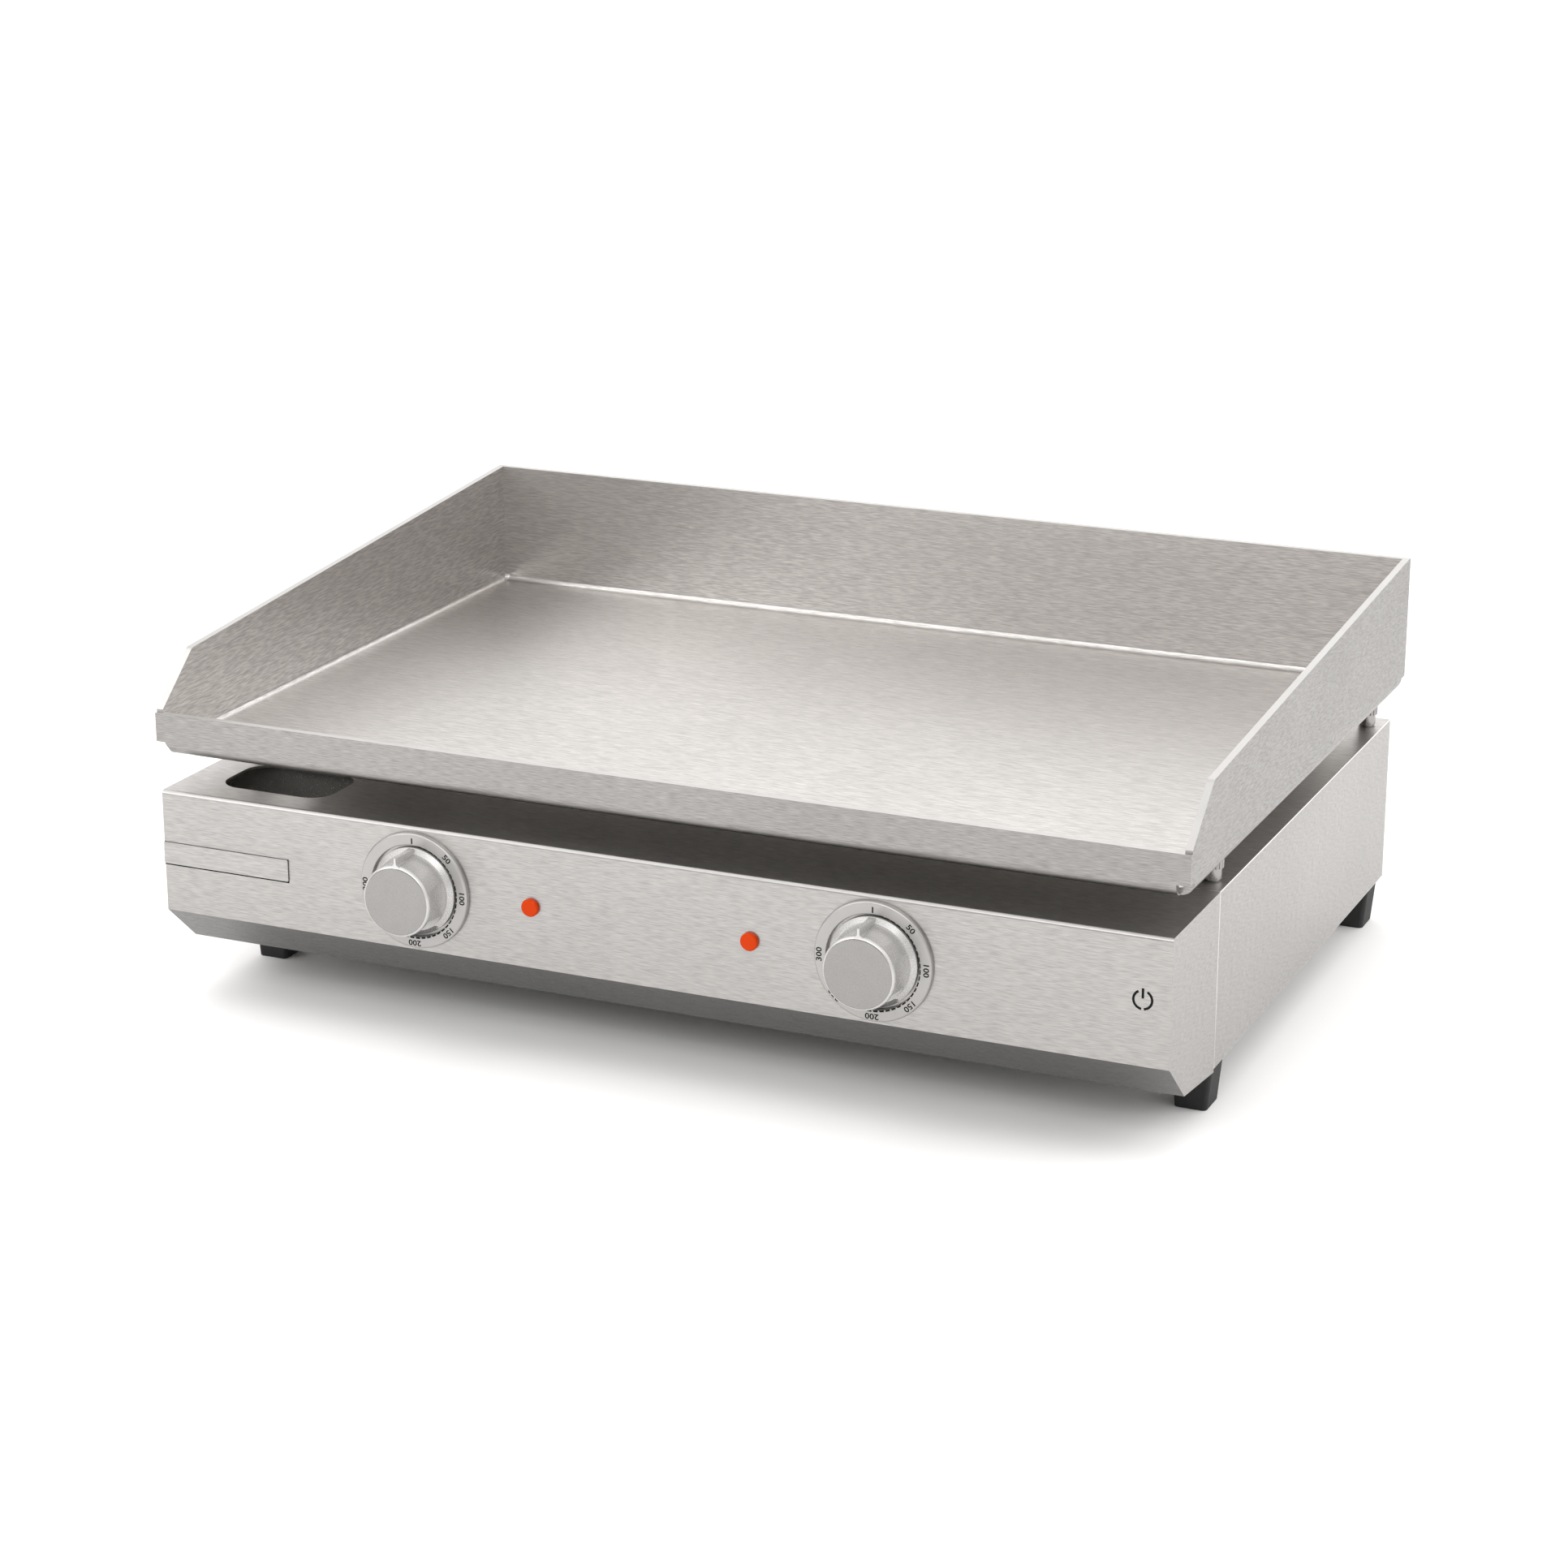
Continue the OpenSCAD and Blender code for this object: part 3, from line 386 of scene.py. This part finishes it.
def carried_over(node):
    """A CAD node that stays as it is, with a better material."""
    for row in NODES[node].material_slots:
        row.material = MATERIALS[SLOTS[node]]


SLOTS = {row["node"]: row["material_slot"] for row in frame["record"]["subparts"]}
MATERIALS = make_materials()

# Edge rounding in millimetres for each piece that shows
EDGES = {
    "griddle_pan": 0.55,
    "front_fascia": 0.3,
    "rear_housing": 0.8,
    "badge_plate": 0.15,
    "tray_front": 0.25,
    "drip_tray": 0.25,
    "element_shroud": 0.2,
    "switch_housing": 0.3,
    "rocker": 0.4,
    "cable_gland": 0.3,
    "bottom_cover": 0.2,
}
for side in SIDES:
    EDGES["dial_ring_" + side] = 0.15
    EDGES["knob_" + side] = 0.25
    for end in ("front_", "rear_"):
        EDGES["post_" + end + side] = 0.2
        EDGES["foot_" + end + side] = 0.8

# Other finishes on the same piece, after its own, as lit and shaded copies: a painted highlight on edges or
# rim, outer sides in painted shade (painted lighter on the knobs), underside in painted shade (painted
# lighter on the pan)
EXTRA_FINISHES = {
    "griddle_pan": ("pan_edge_painted_highlight", "pan_outside_painted_shade", "pan_underside_painted_light"),
    "front_fascia": ("base_edge_painted_highlight", "base_outside_painted_shade", "base_underside_painted_shade"),
    "rear_housing": ("housing_edge_painted_highlight", "base_outside_painted_shade", "base_underside_painted_shade"),
}
for side in SIDES:
    EXTRA_FINISHES["knob_" + side] = ("knob_rim_painted_highlight", "knob_side_painted_light", "knob_underside_painted_shade")

# Pieces whose rounded edges get the painted highlight finish; on the first only the long edges are rounded
PAINTED_HIGHLIGHT_SEAMS = ("rear_housing",)
PAINTED_HIGHLIGHT_RIMS = ("knob_left", "knob_right")

# Height above which an upward face is a cut edge (the base has none), and the slope that is underneath
PAN_CUT_HEIGHT = 15 * MM
PAN_UNDERNEATH = -0.98
# Base faces that look further down than this, the front chamfer among them, take the painted shade finish
BASE_UNDERNEATH = -0.3

pan_low, pan_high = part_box("griddle_pan")
SHEET_METAL = {
    "griddle_pan": (pan_low.z + PAN_CUT_HEIGHT, PAN_UNDERNEATH),
    "front_fascia": (pan_high.z, BASE_UNDERNEATH),
    "rear_housing": (pan_high.z, BASE_UNDERNEATH),
}

for node in NODES:
    if node in EDGES:
        finished_copy(node, EDGES[node], SHEET_METAL.get(node))
    else:
        carried_over(node)


# ---------- Printed marks ----------

# The marks are drawn in millimetres, face up, and then stood up against the front
PRINT_THICK = 0.04
PRINT_WELD = 1e-5

# The scale round a dial: its numbers, then the dashes that start thin and end thick, angles in degrees
SCALE_STEP = 45
SCALE_NUMBERS = (50, 100, 150, 200, 250, 300)
NUMBER_RADIUS = 30.2
NUMBER_SIZE = 4.5
NUMBER_WIDTH = 1.18
NUMBER_WEIGHT = 0.09
NUMBER_STEPS = 3
OFF_MARK_LOW = 27.4
OFF_MARK_HIGH = 30.7
OFF_MARK_WIDTH = 0.84
DASH_START = 8
DASH_PITCH = 7.5
DASH_FILL = 0.72
DASH_RADIUS = 26.75
DASH_THIN = 0.2
DASH_GROWTH = 1.35
DASH_CURVE = 1.1
DASH_STEPS = 4

# The power symbol: two arcs that leave a gap above and below, its bar, and its place from the fascia's corner
POWER_OUTER = 5.7
POWER_INNER = 4.35
POWER_ARCS = ((28, 172), (188, 332))
POWER_ARC_STEPS = 24
POWER_BAR_LOW = 0.8
POWER_BAR_HIGH = 6.3
POWER_BAR_WIDTH = 1.36
POWER_FROM_RIGHT = 15.5 * MM
POWER_FROM_TOP = 35.3 * MM

# The name plate's painted shadow, a dark strip behind it: how far it shows below, above and to the right, its
# thickness, and its middle's depth
BADGE_SHADOW_BELOW = 0.95 * MM
BADGE_SHADOW_ABOVE = 0.1 * MM
BADGE_SHADOW_RIGHT = 0.05 * MM
BADGE_SHADOW_THICK = 0.25 * MM
BADGE_SHADOW_PROUD = 0.10 * MM


def outline_faces(bm, points):
    """A thin flat solid over a closed outline of 2D points."""
    low = [bm.verts.new((x, y, 0)) for x, y in points]
    high = [bm.verts.new((x, y, PRINT_THICK)) for x, y in points]
    bm.faces.new(list(reversed(low)))
    bm.faces.new(high)
    for i in range(len(points)):
        j = (i + 1) % len(points)
        bm.faces.new((low[i], low[j], high[j], high[i]))


def upright_bar(bm, width, low, high):
    """A thin upright bar in the middle of a drawing."""
    outline_faces(bm, [(-width / 2, low), (width / 2, low), (width / 2, high), (-width / 2, high)])


def arc_band(bm, inner, outer, start, stop, steps):
    """A thin ring segment; angles run clockwise from 12 o'clock, in degrees."""
    angles = [math.radians(90 - start - (stop - start) * i / steps) for i in range(steps + 1)]
    points = [(outer * math.cos(a), outer * math.sin(a)) for a in reversed(angles)]
    points += [(inner * math.cos(a), inner * math.sin(a)) for a in angles]
    outline_faces(bm, points)


def numeral(bm, text, size, place):
    """A number in Blender's own font, centred, placed by a matrix."""
    curve = bpy.data.curves.new("numeral", "FONT")
    curve.body = text
    curve.size = size
    curve.align_x = "CENTER"
    curve.align_y = "CENTER"
    curve.extrude = PRINT_THICK / 2
    curve.offset = NUMBER_WEIGHT
    curve.resolution_u = NUMBER_STEPS
    holder = bpy.data.objects.new("numeral", curve)
    bpy.context.scene.collection.objects.link(holder)
    bpy.context.view_layer.update()
    mesh = bpy.data.meshes.new_from_object(holder.evaluated_get(bpy.context.evaluated_depsgraph_get()))
    mesh.transform(place)
    bm.from_mesh(mesh)
    bpy.data.objects.remove(holder)
    bpy.data.curves.remove(curve)
    bpy.data.meshes.remove(mesh)


def facing_front(x, y, z):
    """Matrix that stands a flat drawing in millimetres up against the front, at a place in metres."""
    return Matrix.Translation((x, y, z)) @ Matrix.Rotation(math.radians(90), 4, "X") @ Matrix.Scale(MM, 4)


def print_piece(name, bm, place):
    """Makes a drawing into a piece in the print's black, placed by a matrix."""
    bmesh.ops.remove_doubles(bm, verts=bm.verts, dist=PRINT_WELD)
    bmesh.ops.recalc_face_normals(bm, faces=bm.faces)
    bm.transform(place)
    mesh = bpy.data.meshes.new(name)
    bm.to_mesh(mesh)
    bm.free()
    piece = link(name, mesh, MATERIALS["print"])
    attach(piece, "frame")


def dial_marks(side):
    """Numbers, the off mark and the line of dashes that grows with the heat."""
    low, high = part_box("dial_ring_" + side)
    centre = (low + high) / 2
    bm = bmesh.new()
    upright_bar(bm, OFF_MARK_WIDTH, OFF_MARK_LOW, OFF_MARK_HIGH)
    for i, number in enumerate(SCALE_NUMBERS):
        turn = Matrix.Rotation(-math.radians(SCALE_STEP * (i + 1)), 4, "Z")
        widen = Matrix.Diagonal((NUMBER_WIDTH, 1, 1, 1))
        lift = Matrix.Translation((0, NUMBER_RADIUS, PRINT_THICK / 2))
        numeral(bm, str(number), NUMBER_SIZE, turn @ lift @ widen)
    end = SCALE_STEP * len(SCALE_NUMBERS)
    for i in range(int((end - DASH_START) / DASH_PITCH)):
        start = DASH_START + i * DASH_PITCH
        outer = DASH_RADIUS + DASH_THIN + DASH_GROWTH * (start / end) ** DASH_CURVE
        arc_band(bm, DASH_RADIUS, outer, start, start + DASH_PITCH * DASH_FILL, DASH_STEPS)
    print_piece("dial_marks_" + side, bm, facing_front(centre.x, low.y, centre.z))


def power_mark():
    """The on and off symbol at the right of the fascia."""
    low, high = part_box("front_fascia")
    bm = bmesh.new()
    for start, stop in POWER_ARCS:
        arc_band(bm, POWER_INNER, POWER_OUTER, start, stop, POWER_ARC_STEPS)
    upright_bar(bm, POWER_BAR_WIDTH, POWER_BAR_LOW, POWER_BAR_HIGH)
    print_piece("power_mark", bm, facing_front(high.x - POWER_FROM_RIGHT, low.y, high.z - POWER_FROM_TOP))


def badge_pad():
    """A dark strip behind the name plate, a painted shadow that shows as a line below it and at its right
    end.
    """
    low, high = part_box("badge_plate")
    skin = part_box("front_fascia")[0].y
    width = high.x - low.x + BADGE_SHADOW_RIGHT
    height = high.z - low.z + BADGE_SHADOW_BELOW + BADGE_SHADOW_ABOVE
    bm = bmesh.new()
    bmesh.ops.create_cube(bm, size=1)
    size = (width, BADGE_SHADOW_THICK, height)
    middle = (low.x + width / 2, skin - BADGE_SHADOW_PROUD, low.z - BADGE_SHADOW_BELOW + height / 2)
    print_piece("badge_pad", bm, Matrix.Translation(middle) @ Matrix.Diagonal((*size, 1)))


for side in SIDES:
    dial_marks(side)
power_mark()
badge_pad()


# ---------- Stage, light and camera ----------


def make_floor():
    """A wide pale floor, far past the edge of the picture."""
    mesh = bpy.data.meshes.new("floor")
    reach = 40
    corners = [(-reach, -reach, 0), (reach, -reach, 0), (reach, reach, 0), (-reach, reach, 0)]
    mesh.from_pydata(corners, [], [(0, 1, 2, 3)])
    tree = Tree("pale_floor")
    tree.base((0.95, 0.945, 0.94), roughness=0.9)
    floor = link("floor", mesh, tree.material)


def area_light(name, place, target, size, power):
    data = bpy.data.lights.new(name, "AREA")
    data.shape = "RECTANGLE"
    data.size, data.size_y = size
    data.energy = power
    light = bpy.data.objects.new(name, data)
    light.location = place
    light.rotation_euler = (Vector(target) - Vector(place)).to_track_quat("-Z", "Y").to_euler()
    bpy.context.scene.collection.objects.link(light)


def make_world():
    """A pale surround, brightest behind the griddle and above it."""
    world = bpy.data.worlds.new("studio")
    world.use_nodes = True
    tree = world.node_tree
    direction = tree.nodes.new("ShaderNodeTexCoord")
    total = None
    for towards, strength in SURROUND:
        facing = tree.nodes.new("ShaderNodeVectorMath")
        facing.operation = "DOT_PRODUCT"
        facing.inputs[1].default_value = [strength * part for part in towards]
        tree.links.new(direction.outputs["Generated"], facing.inputs[0])
        lit = tree.nodes.new("ShaderNodeMath")
        lit.operation = "MAXIMUM"
        lit.inputs[1].default_value = 0.0
        tree.links.new(facing.outputs["Value"], lit.inputs[0])
        if total is not None:
            both = tree.nodes.new("ShaderNodeMath")
            tree.links.new(total, both.inputs[0])
            tree.links.new(lit.outputs[0], both.inputs[1])
            lit = both
        total = lit.outputs[0]
    background = tree.nodes["Background"]
    background.inputs["Color"].default_value = (1, 0.992, 0.985, 1)
    tree.links.new(total, background.inputs["Strength"])
    bpy.context.scene.world = world


def make_lights():
    """Large soft boxes: their place, the point they face, their size and their power in watts."""
    area_light("softbox_front", (0.2, -2.2, 1.6), (0, -0.2, 0.05), (2.0, 1.2), 24.5)
    area_light("softbox_front_left", (-1.3, -1.5, 0.9), (0, -0.2, 0.05), (1.0, 1.0), 10)
    area_light("softbox_right", (1.8, 0.2, 1.2), (0.1, 0, 0.05), (1.0, 1.0), 8.5)
    area_light("softbox_top_left", (-1.0, -0.5, 1.8), (0, 0, 0), (1.5, 1.5), 9)
    area_light("softbox_left", (-1.8, -0.2, 0.9), (0, -0.1, 0.05), (1.2, 1.0), 4)


def make_camera():
    azimuth = math.radians(CAMERA_AZIMUTH)
    elevation = math.radians(CAMERA_ELEVATION)
    flat = math.cos(elevation)
    back = Vector((math.sin(azimuth) * flat, -math.cos(azimuth) * flat, math.sin(elevation)))
    data = bpy.data.cameras.new("camera")
    data.lens = CAMERA_LENS
    data.sensor_width = CAMERA_SENSOR
    data.clip_end = CAMERA_REACH
    camera = bpy.data.objects.new("camera", data)
    camera.location = CAMERA_TARGET + back * CAMERA_DISTANCE
    camera.rotation_euler = (-back).to_track_quat("-Z", "Y").to_euler()
    bpy.context.scene.collection.objects.link(camera)
    bpy.context.scene.camera = camera


make_floor()
make_world()
make_lights()
make_camera()
bpy.context.scene.view_settings.view_transform = "Standard"
